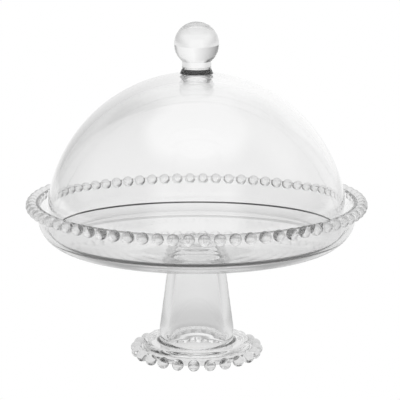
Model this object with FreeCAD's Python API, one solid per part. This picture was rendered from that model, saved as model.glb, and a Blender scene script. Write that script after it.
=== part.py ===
import FreeCAD, Part
import math
import os

# Glass cake stand with a lift-off dome cover.
# Units are millimetres. The origin is on the table under the stand's centre, and +Z is up.
# The stand is a shallow dish on a hollow pedestal, and both edges carry a ring of moulded glass beads.
# The cover is a blown dome with a solid ball knob, and its rounded lip rests on the dish's curved wall.

# Beads on the dish's rim
RIM_BEADS = 72
RIM_BEAD_RADIUS = 5.1
RIM_BEAD_CIRCLE = 144.9
RIM_BEAD_HEIGHT = 138.2

# Beads around the foot, each ground to a small flat that stands on the table
FOOT_BEADS = 24
FOOT_BEAD_RADIUS = 5.1
FOOT_BEAD_CIRCLE = 53.9
FOOT_BEAD_HEIGHT = 5.0
FOOT_BEAD_TURN = -2.6

# Dish. Its underside falls gently from the round turn to the stem, so its middle is the thickest part
DISH_UNDERSIDE = 103.3
DISH_FLAT_RADIUS = 114.2
DISH_CURVE_RADIUS = 25.5
DISH_WALL_TILT = 82.0
DISH_THICKNESS = 4.0
DISH_UNDERSIDE_SLOPE = 2.2
RIM_TOP = 141.5
RIM_OUTER_RADIUS = 141.6
RIM_CHAMFER = 1.2

# Pedestal: a hollow stem on a foot shaped like an upturned dish
STEM_TOP_RADIUS = 23.0
STEM_LOW_RADIUS = 32.8
STEM_LOW_HEIGHT = 25.0
STEM_FILLET = 3.5
STEM_BORE_TOP_RADIUS = 17.0
STEM_BORE_BASE_RADIUS = 26.4
STEM_BORE_ROUND = 6.0
STEM_CAP = 7.0
FOOT_TOP = 13.8
FOOT_RADIUS = 48.0
FOOT_SHOULDER = 3.5
FOOT_PLATE = 4.0
FOOT_WALL = 4.5
FOOT_HOLLOW_ROUND = 2.5
FOOT_LIP_RADIUS = 50.8
FOOT_LIP_BOTTOM = 3.3
FOOT_LIP_TOP = 7.3
FOOT_LIP_CHAMFER = 1.2

# Cover
DOME_RADIUS = 131.2
DOME_RISE = 125.0
DOME_SIDE_CURVE = 110.0
DOME_INNER_SIDE_CURVE = 98.0
DOME_WIDEST_HEIGHT = 128.6
DOME_WALL = 4.0
DOME_CROWN = 8.5
DOME_BASE_HEIGHT = 113.9
KNOB_RADIUS = 19.5
KNOB_HEIGHT = 278.1
NECK_RADIUS = 12.7
NECK_FLARE_RADIUS = 14.6
NECK_GROOVE_HEIGHT = 4.6
NECK_GROOVE_CURVE = 2.0
NECK_GROOVE_TURN = 35.0


def at(radius, height):
    return FreeCAD.Vector(radius, 0, height)


def line(start, end):
    return Part.LineSegment(at(*start), at(*end)).toShape()


def arc(start, middle, end):
    return Part.Arc(at(*start), at(*middle), at(*end)).toShape()


def turned(edges):
    """Turn a closed outline, drawn as radius and height, once around the vertical axis."""
    face = Part.Face(Part.Wire(edges))
    return face.revolve(FreeCAD.Vector(0, 0, 0), FreeCAD.Vector(0, 0, 1), 360)


def around(centre, radius, angle):
    """The point of a round stretch, with the angle counted from straight down, outwards."""
    turn = math.radians(angle)
    return (centre[0] + radius * math.sin(turn), centre[1] - radius * math.cos(turn))


def underside():
    """The dish's underside: where it leaves the round turn, and where it meets the stem."""
    centre = (DISH_FLAT_RADIUS, DISH_UNDERSIDE + DISH_CURVE_RADIUS)
    outer = around(centre, DISH_CURVE_RADIUS, DISH_UNDERSIDE_SLOPE)
    fall = (outer[0] - STEM_TOP_RADIUS) * math.tan(math.radians(DISH_UNDERSIDE_SLOPE))
    return outer, (STEM_TOP_RADIUS, outer[1] - fall)


def front_ball(radius, circle, height):
    """A ball on the front of a ring, with its poles pointing towards the axis and away from it."""
    centre = FreeCAD.Vector(0, -circle, height)
    return Part.makeSphere(radius, centre, FreeCAD.Vector(0, -1, 0))


def bead_ring(bead, count, turn):
    """Copies of one bead, evenly spaced around the axis, starting from the front."""
    beads = []
    for number in range(count):
        copy = bead.copy()
        angle = turn + 360.0 * number / count
        copy.rotate(FreeCAD.Vector(0, 0, 0), FreeCAD.Vector(0, 0, 1), angle)
        beads.append(copy)
    return Part.makeCompound(beads)


def make_plate():
    """The dish: a flat floor on a sloping underside, a round turn, a wall and a rim with chamfered edges."""
    centre = (DISH_FLAT_RADIUS, DISH_UNDERSIDE + DISH_CURVE_RADIUS)
    inner_curve = DISH_CURVE_RADIUS - DISH_THICKNESS
    outer_bend = around(centre, DISH_CURVE_RADIUS, DISH_WALL_TILT)
    inner_bend = around(centre, inner_curve, DISH_WALL_TILT)
    rim_inner_radius = RIM_OUTER_RADIUS - DISH_THICKNESS
    rim_shoulder = RIM_TOP - RIM_CHAMFER
    floor = DISH_UNDERSIDE + DISH_THICKNESS
    turn_start, stem_edge = underside()
    return turned([
        line((0, stem_edge[1]), stem_edge),
        line(stem_edge, turn_start),
        arc(turn_start, around(centre, DISH_CURVE_RADIUS, DISH_WALL_TILT / 2), outer_bend),
        line(outer_bend, (RIM_OUTER_RADIUS, rim_shoulder)),
        line((RIM_OUTER_RADIUS, rim_shoulder), (RIM_OUTER_RADIUS - RIM_CHAMFER, RIM_TOP)),
        line((RIM_OUTER_RADIUS - RIM_CHAMFER, RIM_TOP), (rim_inner_radius + RIM_CHAMFER, RIM_TOP)),
        line((rim_inner_radius + RIM_CHAMFER, RIM_TOP), (rim_inner_radius, rim_shoulder)),
        line((rim_inner_radius, rim_shoulder), inner_bend),
        arc(inner_bend, around(centre, inner_curve, DISH_WALL_TILT / 2),
            (DISH_FLAT_RADIUS, floor)),
        line((DISH_FLAT_RADIUS, floor), (0, floor)),
        line((0, floor), (0, stem_edge[1])),
    ])


def make_rim_beads(plate):
    """Glass balls fused to the rim, each one cut to the rim's own shape."""
    ball = front_ball(RIM_BEAD_RADIUS, RIM_BEAD_CIRCLE, RIM_BEAD_HEIGHT)
    half_step = 180.0 / RIM_BEADS
    return bead_ring(ball.cut(plate).Solids[0], RIM_BEADS, half_step)


def make_stem():
    """The tapered stem, closed at the top and open at the bottom."""
    top = underside()[1][1]
    bore_top = top - STEM_CAP
    fillet = (STEM_LOW_RADIUS + STEM_FILLET, FOOT_TOP + STEM_FILLET)
    fillet_top = around(fillet, STEM_FILLET, -90)
    fillet_base = around(fillet, STEM_FILLET, 0)
    bore_end = (STEM_BORE_TOP_RADIUS - STEM_BORE_ROUND, bore_top - STEM_BORE_ROUND)
    bore_side = around(bore_end, STEM_BORE_ROUND, 90)
    bore_crown = around(bore_end, STEM_BORE_ROUND, 180)
    return turned([
        line((0, top), (STEM_TOP_RADIUS, top)),
        line((STEM_TOP_RADIUS, top), (STEM_LOW_RADIUS, STEM_LOW_HEIGHT)),
        line((STEM_LOW_RADIUS, STEM_LOW_HEIGHT), fillet_top),
        arc(fillet_top, around(fillet, STEM_FILLET, -45), fillet_base),
        line(fillet_base, (STEM_BORE_BASE_RADIUS, FOOT_TOP)),
        line((STEM_BORE_BASE_RADIUS, FOOT_TOP), bore_side),
        arc(bore_side, around(bore_end, STEM_BORE_ROUND, 135), bore_crown),
        line(bore_crown, (0, bore_top)),
        line((0, bore_top), (0, top)),
    ])


def make_foot():
    """The foot: a flat top, a rounded shoulder, a short wall and a lip that carries the beads."""
    shoulder = (FOOT_RADIUS - FOOT_SHOULDER, FOOT_TOP - FOOT_SHOULDER)
    ceiling = FOOT_TOP - FOOT_PLATE
    hollow_radius = FOOT_RADIUS - FOOT_WALL
    hollow = (hollow_radius - FOOT_HOLLOW_ROUND, ceiling - FOOT_HOLLOW_ROUND)
    lip_flat = FOOT_LIP_RADIUS - FOOT_LIP_CHAMFER
    lip_high = FOOT_LIP_TOP - FOOT_LIP_CHAMFER
    lip_low = FOOT_LIP_BOTTOM + FOOT_LIP_CHAMFER
    return turned([
        line((STEM_BORE_BASE_RADIUS, FOOT_TOP), (shoulder[0], FOOT_TOP)),
        arc((shoulder[0], FOOT_TOP), around(shoulder, FOOT_SHOULDER, 135), (FOOT_RADIUS, shoulder[1])),
        line((FOOT_RADIUS, shoulder[1]), (FOOT_RADIUS, FOOT_LIP_TOP)),
        line((FOOT_RADIUS, FOOT_LIP_TOP), (lip_flat, FOOT_LIP_TOP)),
        line((lip_flat, FOOT_LIP_TOP), (FOOT_LIP_RADIUS, lip_high)),
        line((FOOT_LIP_RADIUS, lip_high), (FOOT_LIP_RADIUS, lip_low)),
        line((FOOT_LIP_RADIUS, lip_low), (lip_flat, FOOT_LIP_BOTTOM)),
        line((lip_flat, FOOT_LIP_BOTTOM), (hollow_radius, FOOT_LIP_BOTTOM)),
        line((hollow_radius, FOOT_LIP_BOTTOM), (hollow_radius, hollow[1])),
        arc((hollow_radius, hollow[1]), around(hollow, FOOT_HOLLOW_ROUND, 135), (hollow[0], ceiling)),
        line((hollow[0], ceiling), (STEM_BORE_BASE_RADIUS, ceiling)),
        line((STEM_BORE_BASE_RADIUS, ceiling), (STEM_BORE_BASE_RADIUS, FOOT_TOP)),
    ])


def make_foot_beads(foot):
    """Glass balls fused around the foot's lip, ground flat where they stand on the table."""
    ball = front_ball(FOOT_BEAD_RADIUS, FOOT_BEAD_CIRCLE, FOOT_BEAD_HEIGHT)
    block = 4 * FOOT_BEAD_RADIUS
    corner = FreeCAD.Vector(-block / 2, -FOOT_BEAD_CIRCLE - block / 2, -block)
    table = Part.makeBox(block, block, block, corner)
    bead = ball.cut(table).cut(foot)
    return bead_ring(bead.Solids[0], FOOT_BEADS, FOOT_BEAD_TURN)


def oval(radius, rise, side_radius):
    """The centres and radii of a dome's outline: a side arc that runs smoothly into a crown arc."""
    side = (radius - side_radius, DOME_WIDEST_HEIGHT)
    slack = rise - side_radius
    drop = (side[0] ** 2 - slack ** 2) / (2 * slack)
    crown = (0, DOME_WIDEST_HEIGHT - drop)
    crown_radius = rise + drop
    join = 90 + math.degrees(math.atan2(drop, side[0]))
    return side, crown, crown_radius, join


def make_dome():
    """The dome: an oval shell, thicker at the crown, with a rounded lip."""
    inner_radius = DOME_RADIUS - DOME_WALL
    inner_rise = DOME_RISE - DOME_CROWN
    side, crown, crown_radius, join = oval(DOME_RADIUS, DOME_RISE, DOME_SIDE_CURVE)
    in_side, in_crown, in_crown_radius, in_join = oval(inner_radius, inner_rise, DOME_INNER_SIDE_CURVE)
    lip_height = DOME_BASE_HEIGHT + DOME_WALL / 2
    drop = DOME_WIDEST_HEIGHT - lip_height
    low = 90 - math.degrees(math.asin(drop / DOME_SIDE_CURVE))
    in_low = 90 - math.degrees(math.asin(drop / DOME_INNER_SIDE_CURVE))
    outer_lip = around(side, DOME_SIDE_CURVE, low)
    outer_join = around(side, DOME_SIDE_CURVE, join)
    inner_lip = around(in_side, DOME_INNER_SIDE_CURVE, in_low)
    inner_join = around(in_side, DOME_INNER_SIDE_CURVE, in_join)
    outer_top = around(crown, crown_radius, 180)
    inner_top = around(in_crown, in_crown_radius, 180)
    return turned([
        arc(outer_lip, around(side, DOME_SIDE_CURVE, (low + join) / 2), outer_join),
        arc(outer_join, around(crown, crown_radius, (join + 180) / 2), outer_top),
        line(outer_top, inner_top),
        arc(inner_top, around(in_crown, in_crown_radius, (in_join + 180) / 2), inner_join),
        arc(inner_join, around(in_side, DOME_INNER_SIDE_CURVE, (in_low + in_join) / 2), inner_lip),
        arc(inner_lip, ((inner_lip[0] + outer_lip[0]) / 2, DOME_BASE_HEIGHT), outer_lip),
    ])


def make_knob():
    """The ball knob and its neck, which widens below a shallow groove and is fused to the dome's crown."""
    crown, crown_radius = oval(DOME_RADIUS, DOME_RISE, DOME_SIDE_CURVE)[1:3]
    spread = math.degrees(math.asin(NECK_FLARE_RADIUS / crown_radius))
    seat = around(crown, crown_radius, 180 - spread)
    seat_middle = around(crown, crown_radius, 180 - spread / 2)
    seat_top = around(crown, crown_radius, 180)
    groove = (NECK_RADIUS + NECK_GROOVE_CURVE, seat[1] + NECK_GROOVE_HEIGHT)
    groove_low = around(groove, NECK_GROOVE_CURVE, NECK_GROOVE_TURN - 90)
    groove_top = around(groove, NECK_GROOVE_CURVE, -90)
    ball = (0, KNOB_HEIGHT)
    neck_turn = math.degrees(math.asin(NECK_RADIUS / KNOB_RADIUS))
    return turned([
        arc(seat_top, seat_middle, seat),
        line(seat, groove_low),
        arc(groove_low, around(groove, NECK_GROOVE_CURVE, NECK_GROOVE_TURN / 2 - 90), groove_top),
        line(groove_top, around(ball, KNOB_RADIUS, neck_turn)),
        arc(around(ball, KNOB_RADIUS, neck_turn), around(ball, KNOB_RADIUS, 90),
            around(ball, KNOB_RADIUS, 180)),
        line(around(ball, KNOB_RADIUS, 180), seat_top),
    ])


def main():
    plate = make_plate()
    foot = make_foot()
    pieces = {
        "plate": plate,
        "rim_beads": make_rim_beads(plate),
        "stem": make_stem(),
        "foot": foot,
        "foot_beads": make_foot_beads(foot),
        "dome": make_dome(),
        "knob": make_knob(),
    }
    os.makedirs("parts", exist_ok=True)
    for name, shape in pieces.items():
        box = shape.BoundBox
        print(f"{name}: {len(shape.Solids)} solids, valid {shape.isValid()}, {shape.Volume / 1000:.1f} cm3, "
              f"r {box.XMax:.2f}, z {box.ZMin:.2f} to {box.ZMax:.2f}")
        shape.exportStep(f"parts/{name}.step")


main()
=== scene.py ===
import math
import bmesh
import bpy
from mathutils import Matrix, Vector


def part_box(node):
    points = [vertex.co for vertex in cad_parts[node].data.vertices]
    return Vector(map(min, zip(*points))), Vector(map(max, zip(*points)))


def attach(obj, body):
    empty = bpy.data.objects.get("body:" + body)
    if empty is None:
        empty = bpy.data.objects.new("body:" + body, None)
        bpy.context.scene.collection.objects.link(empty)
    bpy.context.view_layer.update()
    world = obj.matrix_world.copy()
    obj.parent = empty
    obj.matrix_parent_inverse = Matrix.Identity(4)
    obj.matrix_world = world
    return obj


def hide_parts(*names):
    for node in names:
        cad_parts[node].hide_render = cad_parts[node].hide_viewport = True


# Looks of a clear glass cake stand with a lift-off dome cover.
# Sizes are written in millimetres, as on the drawing, and meshes are made in metres.
MM = 0.001
AROUND = 288
# Fused faces lie a hair apart, so that light crosses them one after the other
APART = 0.005
ARC_STEP = 3.0
# Outline points closer than this are one point
NEAR = 1e-6
# Edges sharper than this, in degrees, are shaded as edges
SHARP_EDGE = 40
BEAD_SEGMENTS, BEAD_RINGS = 40, 28
SEAT_STEPS = 6
LIP_STEPS = 16

# Beads on the dish's rim and around the foot
RIM_BEADS, RIM_BEAD_RADIUS, RIM_BEAD_CIRCLE, RIM_BEAD_HEIGHT = 72, 5.1, 144.9, 138.2
FOOT_BEADS, FOOT_BEAD_RADIUS, FOOT_BEAD_CIRCLE, FOOT_BEAD_HEIGHT = 24, 5.1, 53.9, 5.0
FOOT_BEAD_TURN = -2.6

# Dish
DISH_UNDERSIDE = 103.3
DISH_FLAT_RADIUS = 114.2
DISH_CURVE_RADIUS = 25.5
DISH_WALL_TILT = 82.0
DISH_THICKNESS = 4.0
DISH_UNDERSIDE_SLOPE = 2.2
RIM_TOP = 141.5
RIM_OUTER_RADIUS = 141.6

# Pedestal
STEM_TOP_RADIUS = 23.0
STEM_LOW_RADIUS = 32.8
STEM_LOW_HEIGHT = 25.0
STEM_FILLET = 3.5
STEM_BORE_TOP_RADIUS = 17.0
STEM_BORE_BASE_RADIUS = 26.4
STEM_BORE_ROUND = 6.0
STEM_CAP = 7.0
FOOT_TOP = 13.8
FOOT_RADIUS = 48.0
FOOT_SHOULDER = 3.5
FOOT_PLATE = 4.0
FOOT_WALL = 4.5
FOOT_HOLLOW_ROUND = 2.5
FOOT_LIP_RADIUS = 50.8
FOOT_LIP_BOTTOM = 3.3
FOOT_LIP_TOP = 7.3

# Cover
DOME_RADIUS = 131.2
DOME_RISE = 125.0
DOME_SIDE_CURVE = 110.0
DOME_INNER_SIDE_CURVE = 98.0
DOME_WIDEST_HEIGHT = 128.6
DOME_WALL = 4.0
DOME_CROWN = 8.5
DOME_BASE_HEIGHT = 113.9
GROUND_LIP = 1.6
GROUND_LIP_INSIDE = 120
GROUND_LIP_OUTSIDE = 132
GROUND_FACET = 0.05
KNOB_RADIUS = 19.5
KNOB_HEIGHT = 278.1
NECK_RADIUS = 12.7
NECK_FLARE_RADIUS = 14.6
NECK_GROOVE_HEIGHT = 4.6
NECK_GROOVE_CURVE = 2.0
NECK_GROOVE_TURN = 35.0

# Glass
REFRACTION = 1.5
WAVE_DETAIL = 1.5
POLISH_SCALE = 60
GROUND_ROUGHNESS = 0.4
# Base colour of the ground faces: a painted shade where the dome's lip sits in the dish and the foot beads
# stand on the table
GROUND_SHADE_TONE = 0.1

# Camera
CAMERA_DISTANCE = 1.568
CAMERA_ELEVATION = 12.14
CAMERA_LENS = 160.3
CAMERA_SHIFT = (0.0085, 0.006)

# Light: brightness around the studio, by the angle in degrees from straight behind the stand, to the right
LOW_LIGHT = ((-180, 1.0), (-152, 1.0), (-138, 0.06), (-62, 0.06), (-46, 0.35), (-12, 0.82), (6, 1.05),
             (20, 1.0), (46, 0.86), (62, 0.34), (96, 0.06), (138, 0.06), (152, 1.0), (180, 1.0))
HIGH_LIGHT = ((-180, 0.06), (-32, 0.06), (-18, 0.95), (18, 1.0), (32, 0.6), (86, 0.5), (100, 0.06),
              (180, 0.06))
OVERHEAD_LIGHT = 1.05
# Elevations, in degrees, over which the low light gives way to the high one and that to the overhead one
LOW_TO_HIGH = (24, 36)
HIGH_TO_OVERHEAD = (55, 65)
LIGHT_BOUNCES = 128

# Painted glow of the floor, by the distance from the stand's axis in metres, and in the lane behind the stand.
# It dips close around the stand, a painted shadow under it
FLOOR_GLOW_AND_SHADOW = ((0, 0.8), (0.05, 0.75), (0.085, 0.4), (0.13, 0.45), (0.5, 0.55), (0.9, 0.7), (1.8, 0.78),
              (2.5, 0.82))
LANE_GLOW_AND_SHADOW = ((0, 0.8), (0.05, 0.75), (0.085, 0.4), (0.13, 0.6), (0.2, 0.8), (0.5, 0.88), (0.7, 1.0),
             (2.5, 1.0))
# The lane's half width in metres beside the stand, how much wider it gets per metre behind it, how its sides
# fade, in half widths, and where it starts behind the stand
LANE_WIDTH = 0.185
LANE_SPREAD = 0.115
LANE_SIDES = (0.8, 3.0)
LANE_START = (-0.02, 0.12)
FLOOR_REACH = 60
FLOOR_DROP = 0.0002


# ---------------------------------------------------------------- outlines

def around(centre, radius, angle):
    """The point of a round stretch, with the angle counted from straight down, outwards."""
    turn = math.radians(angle)
    return (centre[0] + radius * math.sin(turn), centre[1] - radius * math.cos(turn))


def arc(centre, radius, start, end):
    """Points along a round stretch of an outline."""
    steps = max(2, round(abs(end - start) / ARC_STEP))
    return [around(centre, radius, start + (end - start) * i / steps) for i in range(steps + 1)]


def run(start, end, steps):
    """Evenly spaced points along a straight stretch of an outline."""
    return [(start[0] + (end[0] - start[0]) * i / steps, start[1] + (end[1] - start[1]) * i / steps)
            for i in range(steps + 1)]


def through(start, middle, end, steps):
    """Points along the circle through three points."""
    (ax, ay), (bx, by), (cx, cy) = start, middle, end
    d = 2 * (ax * (by - cy) + bx * (cy - ay) + cx * (ay - by))
    a2, b2, c2 = ax * ax + ay * ay, bx * bx + by * by, cx * cx + cy * cy
    ux = (a2 * (by - cy) + b2 * (cy - ay) + c2 * (ay - by)) / d
    uy = (a2 * (cx - bx) + b2 * (ax - cx) + c2 * (bx - ax)) / d
    radius = math.hypot(ax - ux, ay - uy)
    first = math.degrees(math.atan2(ax - ux, uy - ay))
    last = math.degrees(math.atan2(cx - ux, uy - cy))
    if last - first > 180:
        last -= 360
    if first - last > 180:
        last += 360
    return [around((ux, uy), radius, first + (last - first) * i / steps) for i in range(steps + 1)]


def oval(radius, rise, side_radius):
    """The centres and radii of a dome's outline: a side arc that runs smoothly into a crown arc."""
    side = (radius - side_radius, DOME_WIDEST_HEIGHT)
    slack = rise - side_radius
    drop = (side[0] ** 2 - slack ** 2) / (2 * slack)
    crown = (0, DOME_WIDEST_HEIGHT - drop)
    join = 90 + math.degrees(math.atan2(drop, side[0]))
    return side, crown, rise + drop, join


def joined(*stretches):
    """One outline from several, without repeating the points where they meet."""
    points = []
    for stretch in stretches:
        for point in stretch:
            if not points or math.dist(point, points[-1]) > NEAR:
                points.append(point)
    return points


def underside():
    """The dish's underside: where it leaves the round turn, and where it meets the stem."""
    centre = (DISH_FLAT_RADIUS, DISH_UNDERSIDE + DISH_CURVE_RADIUS)
    outer = around(centre, DISH_CURVE_RADIUS, DISH_UNDERSIDE_SLOPE)
    fall = (outer[0] - STEM_TOP_RADIUS) * math.tan(math.radians(DISH_UNDERSIDE_SLOPE))
    return outer, (STEM_TOP_RADIUS, outer[1] - fall)


def plate_outline():
    centre = (DISH_FLAT_RADIUS, DISH_UNDERSIDE + DISH_CURVE_RADIUS)
    half = DISH_THICKNESS / 2
    rim = (RIM_OUTER_RADIUS - half, RIM_TOP - half)
    floor = DISH_UNDERSIDE + DISH_THICKNESS
    turn_start, stem_edge = underside()
    return joined(
        [(0, stem_edge[1])],
        run(stem_edge, turn_start, 6),
        arc(centre, DISH_CURVE_RADIUS, DISH_UNDERSIDE_SLOPE, DISH_WALL_TILT),
        run(around(centre, DISH_CURVE_RADIUS, DISH_WALL_TILT), around(rim, half, 90), 8),
        arc(rim, half, 90, 270),
        run(around(rim, half, 270), around(centre, DISH_CURVE_RADIUS - DISH_THICKNESS, DISH_WALL_TILT), 8),
        arc(centre, DISH_CURVE_RADIUS - DISH_THICKNESS, DISH_WALL_TILT, 0),
        run((DISH_FLAT_RADIUS, floor), (10, floor), 8),
        [(0, floor)],
    )


def stem_outline():
    top = underside()[1][1]
    bore_top = top - STEM_CAP
    fillet = (STEM_LOW_RADIUS + STEM_FILLET, FOOT_TOP + STEM_FILLET)
    bore_end = (STEM_BORE_TOP_RADIUS - STEM_BORE_ROUND, bore_top - STEM_BORE_ROUND)
    return joined(
        [(0, top)],
        run((STEM_TOP_RADIUS, top), (STEM_LOW_RADIUS, STEM_LOW_HEIGHT), 12),
        run((STEM_LOW_RADIUS, STEM_LOW_HEIGHT), around(fillet, STEM_FILLET, -90), 3),
        arc(fillet, STEM_FILLET, -90, 0),
        [(STEM_BORE_BASE_RADIUS, FOOT_TOP)],
        run((STEM_BORE_BASE_RADIUS, FOOT_TOP), around(bore_end, STEM_BORE_ROUND, 90), 24),
        arc(bore_end, STEM_BORE_ROUND, 90, 180),
        [(0, bore_top)],
    )


def foot_outline():
    shoulder = (FOOT_RADIUS - FOOT_SHOULDER, FOOT_TOP - FOOT_SHOULDER)
    ceiling = FOOT_TOP - FOOT_PLATE
    hollow_radius = FOOT_RADIUS - FOOT_WALL
    hollow = (hollow_radius - FOOT_HOLLOW_ROUND, ceiling - FOOT_HOLLOW_ROUND)
    half = (FOOT_LIP_TOP - FOOT_LIP_BOTTOM) / 2
    lip = (FOOT_LIP_RADIUS - half, FOOT_LIP_BOTTOM + half)
    stem_edge = STEM_LOW_RADIUS + STEM_FILLET
    return joined(
        [(STEM_BORE_BASE_RADIUS, FOOT_TOP)],
        run((stem_edge, FOOT_TOP), (shoulder[0], FOOT_TOP), 3),
        arc(shoulder, FOOT_SHOULDER, 180, 90),
        run((FOOT_RADIUS, shoulder[1]), (FOOT_RADIUS, FOOT_LIP_TOP), 2),
        [(lip[0], FOOT_LIP_TOP)],
        arc(lip, half, 180, 0),
        [(hollow_radius, FOOT_LIP_BOTTOM)],
        [(hollow_radius, hollow[1])],
        arc(hollow, FOOT_HOLLOW_ROUND, 90, 180),
        run((hollow[0], ceiling), (STEM_BORE_BASE_RADIUS, ceiling), 4),
        [(STEM_BORE_BASE_RADIUS, FOOT_TOP)],
    )


def crown_seat():
    """The part of the dome's crown that the knob is fused to, from the axis outwards."""
    crown, radius = oval(DOME_RADIUS, DOME_RISE, DOME_SIDE_CURVE)[1:3]
    spread = math.degrees(math.asin(NECK_FLARE_RADIUS / radius))
    return [around(crown, radius, 180 - spread * i / SEAT_STEPS) for i in range(SEAT_STEPS + 1)]


def dome_outline():
    side, crown, crown_radius, join = oval(DOME_RADIUS, DOME_RISE, DOME_SIDE_CURVE)
    in_radius = DOME_RADIUS - DOME_WALL
    in_rise = DOME_RISE - DOME_CROWN
    in_side, in_crown, in_crown_radius, in_join = oval(in_radius, in_rise, DOME_INNER_SIDE_CURVE)
    drop = DOME_WIDEST_HEIGHT - DOME_BASE_HEIGHT - DOME_WALL / 2
    low = 90 - math.degrees(math.asin(drop / DOME_SIDE_CURVE))
    in_low = 90 - math.degrees(math.asin(drop / DOME_INNER_SIDE_CURVE))
    outer_lip = around(side, DOME_SIDE_CURVE, low)
    inner_lip = around(in_side, DOME_INNER_SIDE_CURVE, in_low)
    lip_middle = ((inner_lip[0] + outer_lip[0]) / 2, DOME_BASE_HEIGHT)
    spread = math.degrees(math.asin(NECK_FLARE_RADIUS / crown_radius))
    return joined(
        crown_seat(),
        arc(crown, crown_radius, 180 - spread, join),
        arc(side, DOME_SIDE_CURVE, join, low),
        through(outer_lip, lip_middle, inner_lip, LIP_STEPS),
        arc(in_side, DOME_INNER_SIDE_CURVE, in_low, in_join),
        arc(in_crown, in_crown_radius, in_join, 180),
    )


def knob_outline():
    seat = crown_seat()
    groove = (NECK_RADIUS + NECK_GROOVE_CURVE, seat[-1][1] + NECK_GROOVE_HEIGHT)
    neck_turn = math.degrees(math.asin(NECK_RADIUS / KNOB_RADIUS))
    ball = (0, KNOB_HEIGHT)
    return joined(
        seat,
        arc(groove, NECK_GROOVE_CURVE, NECK_GROOVE_TURN - 90, -90),
        run(around(groove, NECK_GROOVE_CURVE, -90), around(ball, KNOB_RADIUS, neck_turn), 4),
        arc(ball, KNOB_RADIUS, neck_turn, 180),
    )


# ---------------------------------------------------------------- meshes

GLASS, BOND, OTHER = 0, 1, 2


def lathe(name, outline, bonded=lambda a, b: False):
    """A closed mesh from an outline turned around the axis. bonded says which stretches are fused faces."""
    mesh = bpy.data.meshes.new(name)
    points, faces, slots = [], [], []
    rings = []
    for radius, height in outline:
        if radius < NEAR:
            rings.append([len(points)])
            points.append((0, 0, height * MM))
            continue
        ring = []
        for i in range(AROUND):
            turn = 2 * math.pi * (i + 0.5) / AROUND
            ring.append(len(points))
            points.append((radius * math.cos(turn) * MM, radius * math.sin(turn) * MM, height * MM))
        rings.append(ring)
    if outline[0][0] > NEAR:
        rings[-1] = rings[0]
    for a in range(len(rings) - 1):
        slot = BOND if bonded(outline[a], outline[a + 1]) else GLASS
        first, second = rings[a], rings[a + 1]
        for i in range(AROUND):
            j = (i + 1) % AROUND
            if len(first) == 1:
                faces.append((first[0], second[i], second[j]))
            elif len(second) == 1:
                faces.append((first[i], second[0], first[j]))
            else:
                faces.append((first[i], second[i], second[j], first[j]))
            slots.append(slot)
    mesh.from_pydata(points, [], faces)
    mesh.polygons.foreach_set("material_index", slots)
    finish_mesh(mesh)
    piece = bpy.data.objects.new(name, mesh)
    bpy.context.scene.collection.objects.link(piece)
    return piece


def finish_mesh(mesh):
    """Face the mesh outwards, drop loose points and shade it smooth except at its real edges."""
    work = bmesh.new()
    work.from_mesh(mesh)
    loose = [v for v in work.verts if not v.link_faces]
    bmesh.ops.delete(work, geom=loose, context="VERTS")
    bmesh.ops.recalc_face_normals(work, faces=work.faces)
    if work.calc_volume(signed=True) < 0:
        bmesh.ops.reverse_faces(work, faces=work.faces)
    for face in work.faces:
        face.smooth = True
    work.to_mesh(mesh)
    work.free()
    mesh.set_sharp_from_angle(angle=math.radians(SHARP_EDGE))
    mesh.update()


def combine(name, first, second, operation):
    """The exact difference or overlap of two pieces. Faces keep the slot of the piece they come from."""
    piece = bpy.data.objects.new(name, first.data.copy())
    bpy.context.scene.collection.objects.link(piece)
    change = piece.modifiers.new("combine", "BOOLEAN")
    change.operation = operation
    change.solver = "EXACT"
    change.material_mode = "INDEX"
    change.object = second
    shown = bpy.context.evaluated_depsgraph_get()
    mesh = bpy.data.meshes.new_from_object(piece.evaluated_get(shown))
    bpy.data.objects.remove(piece)
    return mesh


def marked(piece, slot):
    """A copy of a piece with all its faces in one slot."""
    copy = bpy.data.objects.new("marked", piece.data.copy())
    bpy.context.scene.collection.objects.link(copy)
    copy.data.polygons.foreach_set("material_index", [slot] * len(copy.data.polygons))
    return copy


def ball(name, radius, circle, height):
    """A glass ball at the front of a ring, ground flat where it would reach below the table."""
    mesh = bpy.data.meshes.new(name)
    work = bmesh.new()
    place = Matrix.Translation((0, -circle * MM, height * MM)) @ Matrix.Rotation(math.radians(90), 4, "X")
    bmesh.ops.create_uvsphere(work, u_segments=BEAD_SEGMENTS, v_segments=BEAD_RINGS, radius=radius * MM,
                              matrix=place)
    if height < radius:
        everything = work.verts[:] + work.edges[:] + work.faces[:]
        cut = bmesh.ops.bisect_plane(work, geom=everything, plane_co=(0, 0, 0), plane_no=(0, 0, -1),
                                     clear_outer=True)
        rim = [e for e in cut["geom_cut"] if isinstance(e, bmesh.types.BMEdge)]
        bmesh.ops.edgeloop_fill(work, edges=rim)
    work.to_mesh(mesh)
    work.free()
    piece = bpy.data.objects.new(name, mesh)
    bpy.context.scene.collection.objects.link(piece)
    return piece


def ringed(name, mesh, count, turn):
    """Copies of one bead evenly spaced around the axis, as one piece."""
    work = bmesh.new()
    for number in range(count):
        start = len(work.verts)
        work.from_mesh(mesh)
        work.verts.ensure_lookup_table()
        angle = math.radians(turn + 360 * number / count)
        spin = Matrix.Rotation(angle, 3, "Z")
        bmesh.ops.rotate(work, verts=work.verts[start:], cent=(0, 0, 0), matrix=spin)
    result = bpy.data.meshes.new(name)
    work.to_mesh(result)
    work.free()
    for slot in mesh.materials:
        result.materials.append(slot)
    piece = bpy.data.objects.new(name, result)
    bpy.context.scene.collection.objects.link(piece)
    return piece


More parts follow.
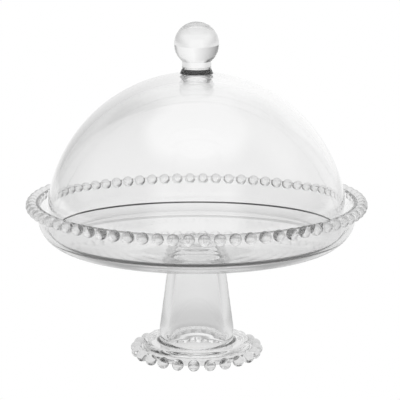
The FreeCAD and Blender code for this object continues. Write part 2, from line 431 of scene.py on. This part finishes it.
def imprinted(body, beads):
    """The body's mesh with the outline of each bead's seat cut into it, and the seats marked as fused."""
    other = marked(beads, OTHER)
    outside = combine("outside", body, other, "DIFFERENCE")
    inside = combine("inside", body, other, "INTERSECT")
    bpy.data.objects.remove(other)
    inside.polygons.foreach_set(
        "material_index", [OTHER if f.material_index == OTHER else BOND for f in inside.polygons])
    work = bmesh.new()
    work.from_mesh(outside)
    work.from_mesh(inside)
    bmesh.ops.delete(work, geom=[f for f in work.faces if f.material_index == OTHER], context="FACES")
    bmesh.ops.remove_doubles(work, verts=work.verts, dist=1e-7)
    work.to_mesh(body.data)
    work.free()
    finish_mesh(body.data)


def beaded(name, body, count, turn, radius, circle, height):
    """A ring of beads fused to a body. They are cut to the body, and the body is marked with their seats."""
    whole = ball("whole", radius, circle, height)
    with_slots(whole)
    other = marked(body, BOND)
    bead = combine("bead", whole, other, "DIFFERENCE")
    bpy.data.objects.remove(other)
    finish_mesh(bead)
    full_ring = ringed("full_ring", whole.data, count, turn)
    with_slots(full_ring)
    imprinted(body, full_ring)
    bpy.data.objects.remove(full_ring)
    bpy.data.objects.remove(whole)
    bead.transform(Matrix.Translation((0, APART * MM, 2 * APART * MM)))
    return ringed(name, bead, count, turn)


def lower(piece, gap):
    piece.data.transform(Matrix.Translation((0, 0, -gap * MM)))


def with_slots(piece):
    """Gives a piece its glass slot and its fused-face slot, and a third that only the cutting uses."""
    for slot in range(len(piece.data.materials), 3):
        piece.data.materials.append(None)


# ---------------------------------------------------------------- materials

def glass(name, wave_scale, wave_depth, roughness, density):
    """Glass with the faint waviness of its making, slight variation in its polish, and the grey of its depth.

    Where two pieces are fused the glass runs on from one to the next, so nothing shows on those faces.
    """
    material = bpy.data.materials.new(name)
    material.use_nodes = True
    nodes, links = material.node_tree.nodes, material.node_tree.links
    shader = nodes["Principled BSDF"]
    shader.inputs["Base Color"].default_value = (1, 1, 1, 1)
    shader.inputs["Transmission Weight"].default_value = 1
    shader.inputs["IOR"].default_value = REFRACTION
    place = nodes.new("ShaderNodeTexCoord")
    waves = nodes.new("ShaderNodeTexNoise")
    waves.inputs["Scale"].default_value = wave_scale
    waves.inputs["Detail"].default_value = WAVE_DETAIL
    bump = nodes.new("ShaderNodeBump")
    bump.inputs["Strength"].default_value = 1
    bump.inputs["Distance"].default_value = wave_depth
    links.new(place.outputs["Object"], waves.inputs["Vector"])
    links.new(waves.outputs["Fac"], bump.inputs["Height"])
    links.new(bump.outputs["Normal"], shader.inputs["Normal"])
    polish = nodes.new("ShaderNodeTexNoise")
    polish.inputs["Scale"].default_value = POLISH_SCALE
    spread = nodes.new("ShaderNodeMapRange")
    spread.inputs["To Min"].default_value = 0
    spread.inputs["To Max"].default_value = roughness
    links.new(place.outputs["Object"], polish.inputs["Vector"])
    links.new(polish.outputs["Fac"], spread.inputs["Value"])
    # Ground faces: rough as ground glass, and painted dark as shade where the pieces touch
    ground = nodes.new("ShaderNodeAttribute")
    ground.attribute_name = "ground"
    rough = nodes.new("ShaderNodeMath")
    rough.operation = "MULTIPLY_ADD"
    rough.inputs[1].default_value = GROUND_ROUGHNESS
    links.new(ground.outputs["Fac"], rough.inputs[0])
    links.new(spread.outputs["Result"], rough.inputs[2])
    links.new(rough.outputs[0], shader.inputs["Roughness"])
    # Painted shade: the ground faces get a dark base colour
    painted_shade = nodes.new("ShaderNodeMix")
    painted_shade.data_type = "RGBA"
    painted_shade.inputs["A"].default_value = (1, 1, 1, 1)
    painted_shade.inputs["B"].default_value = (GROUND_SHADE_TONE, GROUND_SHADE_TONE, GROUND_SHADE_TONE, 1)
    links.new(ground.outputs["Fac"], painted_shade.inputs["Factor"])
    links.new(painted_shade.outputs["Result"], shader.inputs["Base Color"])
    fused = nodes.new("ShaderNodeAttribute")
    fused.attribute_name = "fused"
    shown = nodes.new("ShaderNodeMath")
    shown.operation = "SUBTRACT"
    shown.inputs[0].default_value = 1
    links.new(fused.outputs["Fac"], shown.inputs[1])
    links.new(shown.outputs[0], shader.inputs["Alpha"])
    depth = nodes.new("ShaderNodeVolumeAbsorption")
    depth.inputs["Color"].default_value = (0, 0, 0, 1)
    depth.inputs["Density"].default_value = density
    links.new(depth.outputs["Volume"], nodes["Material Output"].inputs["Volume"])
    return material


def dress(mesh, material):
    """Gives a mesh its glass, and marks the faces that are fused to the next piece, and those that are ground
    and painted dark as shade where they touch.
    """
    marks = [1.0 if face.material_index == BOND else 0.0 for face in mesh.polygons]
    # Ground faces, which the glass makes rough and also paints dark as shade
    edges = [1.0 if is_ground_and_shaded(face.center / MM) else 0.0 for face in mesh.polygons]
    mesh.attributes.new("ground", "FLOAT", "FACE").data.foreach_set("value", edges)
    mesh.attributes.new("fused", "FLOAT", "FACE").data.foreach_set("value", marks)
    mesh.materials.clear()
    mesh.materials.append(material)


def is_ground_and_shaded(place):
    """The dome's lip is ground where it sits in the dish, and each foot bead where it stands on the table.
    These faces are also painted dark, a painted shade where the pieces touch.
    """
    out = math.hypot(place.x, place.y)
    low = DOME_BASE_HEIGHT - GROUND_FACET < place.z < DOME_BASE_HEIGHT + GROUND_LIP
    on_lip = low and GROUND_LIP_INSIDE < out < GROUND_LIP_OUTSIDE
    on_table = place.z < GROUND_FACET
    return on_lip or on_table


# ---------------------------------------------------------------- pieces

def within(outer, *heights):
    """Says of a stretch of outline whether it lies flat at one of the heights and inside the radius."""
    def test(a, b):
        flat = abs(a[1] - b[1]) < NEAR and any(abs(a[1] - h) < NEAR for h in heights)
        return flat and max(a[0], b[0]) < outer + NEAR
    return test


def on_seat(a, b):
    """Says of a stretch of outline whether it lies where the knob is fused to the dome's crown."""
    seat = crown_seat()
    inside = max(a[0], b[0]) < NECK_FLARE_RADIUS + NEAR
    above = min(a[1], b[1]) > seat[-1][1] - NEAR
    below = max(a[1], b[1]) < seat[0][1] + NEAR
    return inside and above and below


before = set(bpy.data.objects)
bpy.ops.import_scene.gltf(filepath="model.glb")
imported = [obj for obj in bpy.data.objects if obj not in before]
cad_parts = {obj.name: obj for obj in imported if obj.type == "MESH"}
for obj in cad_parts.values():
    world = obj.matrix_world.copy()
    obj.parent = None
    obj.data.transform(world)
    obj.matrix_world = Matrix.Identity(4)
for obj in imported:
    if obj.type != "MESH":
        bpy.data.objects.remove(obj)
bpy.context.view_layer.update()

plate = lathe("plate_glass", plate_outline(), within(STEM_TOP_RADIUS, underside()[1][1]))
stem = lathe("stem_glass", stem_outline(), within(math.inf, underside()[1][1], FOOT_TOP))
foot = lathe("foot_glass", foot_outline(), within(STEM_LOW_RADIUS + STEM_FILLET, FOOT_TOP))
dome = lathe("dome_glass", dome_outline(), on_seat)
knob = lathe("knob_glass", knob_outline(), on_seat)
for body in (plate, foot):
    with_slots(body)
rim_beads = beaded("rim_beads_glass", plate, RIM_BEADS, 180 / RIM_BEADS,
                   RIM_BEAD_RADIUS, RIM_BEAD_CIRCLE, RIM_BEAD_HEIGHT)
foot_beads = beaded("foot_beads_glass", foot, FOOT_BEADS, FOOT_BEAD_TURN,
                    FOOT_BEAD_RADIUS, FOOT_BEAD_CIRCLE, FOOT_BEAD_HEIGHT)

lower(stem, APART)
lower(foot, 2 * APART)
lower(dome, APART)

pressed = glass("pressed_glass", wave_scale=30, wave_depth=0.00004, roughness=0.01, density=1.4)
thick = glass("thick_pressed_glass", wave_scale=30, wave_depth=0.00004, roughness=0.01, density=3)
beads_glass = glass("bead_glass", wave_scale=120, wave_depth=0.00001, roughness=0.01, density=2.2)
blown = glass("blown_glass", wave_scale=14, wave_depth=0.00006, roughness=0.005, density=3)
solid = glass("solid_glass", wave_scale=60, wave_depth=0.00002, roughness=0.005, density=2)
for piece, node, body, material in (
        (plate, "plate", "stand", pressed),
        (rim_beads, "rim_beads", "stand", beads_glass),
        (stem, "stem", "stand", thick),
        (foot, "foot", "stand", thick),
        (foot_beads, "foot_beads", "stand", beads_glass),
        (dome, "dome", "cover", blown),
        (knob, "knob", "cover", solid)):
    dress(piece.data, material)
    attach(piece, body)
    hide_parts(node)


# ---------------------------------------------------------------- stage, light and camera

def math_node(tree, operation, first, second=None):
    """A math node fed by sockets or plain numbers."""
    node = tree.nodes.new("ShaderNodeMath")
    node.operation = operation
    for socket, value in zip(node.inputs, (first, second)):
        if isinstance(value, bpy.types.NodeSocket):
            tree.links.new(value, socket)
        elif value is not None:
            socket.default_value = value
    return node.outputs[0]


def smooth_step(tree, value, low, high):
    """Runs smoothly from 0 at the low value to 1 at the high one."""
    node = tree.nodes.new("ShaderNodeMapRange")
    node.interpolation_type = "SMOOTHSTEP"
    node.inputs["From Min"].default_value = low
    node.inputs["From Max"].default_value = high
    tree.links.new(value, node.inputs["Value"])
    return node.outputs["Result"]


def level_ramp(tree, value, levels):
    """The brightness at a value, read off a list of values and levels."""
    low, high = levels[0][0], levels[-1][0]
    share = math_node(tree, "DIVIDE", math_node(tree, "SUBTRACT", value, low), high - low)
    ramp = tree.nodes.new("ShaderNodeValToRGB")
    points = ramp.color_ramp.elements
    points.remove(points[1])
    for number, (place, level) in enumerate(levels):
        share_here = (place - low) / (high - low)
        point = points[0] if number == 0 else points.new(share_here)
        point.position = share_here
        point.color = (level, level, level, 1)
    tree.links.new(share, ramp.inputs["Fac"])
    return ramp.outputs["Color"]


def blend(tree, share, first, second):
    """The first value or socket where the share is 0 and the second where it is 1."""
    node = tree.nodes.new("ShaderNodeMix")
    for name, value in (("Factor", share), ("A", first), ("B", second)):
        socket = node.inputs[name]
        if isinstance(value, bpy.types.NodeSocket):
            tree.links.new(value, socket)
        else:
            socket.default_value = value
    return node.outputs["Result"]


def world_light():
    """A soft studio: bright behind the stand, overhead and in front, with dark screens at both sides."""
    world = bpy.data.worlds.new("studio")
    bpy.context.scene.world = world
    world.use_nodes = True
    tree = world.node_tree
    direction = tree.nodes.new("ShaderNodeTexCoord")
    parts = tree.nodes.new("ShaderNodeSeparateXYZ")
    tree.links.new(direction.outputs["Generated"], parts.inputs["Vector"])
    x, y, z = parts.outputs
    turn = math_node(tree, "MULTIPLY", math_node(tree, "ARCTAN2", x, y), 180 / math.pi)
    lift = math_node(tree, "MULTIPLY", math_node(tree, "ARCSINE", z), 180 / math.pi)
    sides = blend(tree, smooth_step(tree, lift, *LOW_TO_HIGH), level_ramp(tree, turn, LOW_LIGHT),
                  level_ramp(tree, turn, HIGH_LIGHT))
    everywhere = blend(tree, smooth_step(tree, lift, *HIGH_TO_OVERHEAD), sides, OVERHEAD_LIGHT)
    tree.links.new(everywhere, tree.nodes["Background"].inputs["Strength"])
    tree.nodes["Background"].inputs["Color"].default_value = (1, 1, 1, 1)


def floor():
    """A plain pale floor, white to the camera. It lights the glass like a table that glows behind the stand,
    with a painted shadow close around the stand.
    """
    mesh = bpy.data.meshes.new("floor")
    reach = FLOOR_REACH
    corners = [(-reach, -reach, 0), (reach, -reach, 0), (reach, reach, 0), (-reach, reach, 0)]
    mesh.from_pydata(corners, [], [(0, 1, 2, 3)])
    piece = bpy.data.objects.new("floor", mesh)
    bpy.context.scene.collection.objects.link(piece)
    piece.location.z = -FLOOR_DROP
    material = bpy.data.materials.new("pale_floor")
    material.use_nodes = True
    tree = material.node_tree
    shader = tree.nodes["Principled BSDF"]
    shader.inputs["Base Color"].default_value = (0, 0, 0, 1)
    shader.inputs["Roughness"].default_value = 1
    shader.inputs["Specular IOR Level"].default_value = 0
    shader.inputs["Emission Color"].default_value = (1, 1, 1, 1)
    place = tree.nodes.new("ShaderNodeNewGeometry")
    parts = tree.nodes.new("ShaderNodeSeparateXYZ")
    tree.links.new(place.outputs["Position"], parts.inputs["Vector"])
    x, y = parts.outputs["X"], parts.outputs["Y"]
    far = math_node(tree, "SQRT", math_node(tree, "ADD", math_node(tree, "MULTIPLY", x, x),
                                            math_node(tree, "MULTIPLY", y, y)))
    width = math_node(tree, "ADD", math_node(tree, "MULTIPLY", y, LANE_SPREAD), LANE_WIDTH)
    beside = math_node(tree, "DIVIDE", math_node(tree, "ABSOLUTE", x), width)
    lane = math_node(tree, "MULTIPLY", math_node(tree, "SUBTRACT", 1, smooth_step(tree, beside, *LANE_SIDES)),
                     smooth_step(tree, y, *LANE_START))
    # Painted glow and painted shadow of the floor, seen only by rays that are not camera rays
    glow = blend(tree, lane, level_ramp(tree, far, FLOOR_GLOW_AND_SHADOW), level_ramp(tree, far, LANE_GLOW_AND_SHADOW))
    seen = tree.nodes.new("ShaderNodeLightPath")
    tree.links.new(blend(tree, seen.outputs["Is Camera Ray"], glow, 1.0), shader.inputs["Emission Strength"])
    mesh.materials.append(material)


def camera():
    low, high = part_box("rim_beads")
    aim = Vector((0, 0, (low.z + high.z) / 2))
    lift = math.radians(CAMERA_ELEVATION)
    data = bpy.data.cameras.new("camera")
    data.lens = CAMERA_LENS
    data.sensor_width = 36
    data.shift_x, data.shift_y = CAMERA_SHIFT
    data.clip_end = 100
    seat = bpy.data.objects.new("camera", data)
    seat.location = aim + CAMERA_DISTANCE * Vector((0, -math.cos(lift), math.sin(lift)))
    seat.rotation_euler = (math.radians(90) - lift, 0, 0)
    bpy.context.scene.collection.objects.link(seat)
    bpy.context.scene.camera = seat


world_light()
floor()
camera()
scene = bpy.context.scene
scene.view_settings.view_transform = "Standard"
scene.cycles.max_bounces = LIGHT_BOUNCES
scene.cycles.transmission_bounces = LIGHT_BOUNCES
scene.cycles.glossy_bounces = LIGHT_BOUNCES
scene.cycles.transparent_max_bounces = LIGHT_BOUNCES
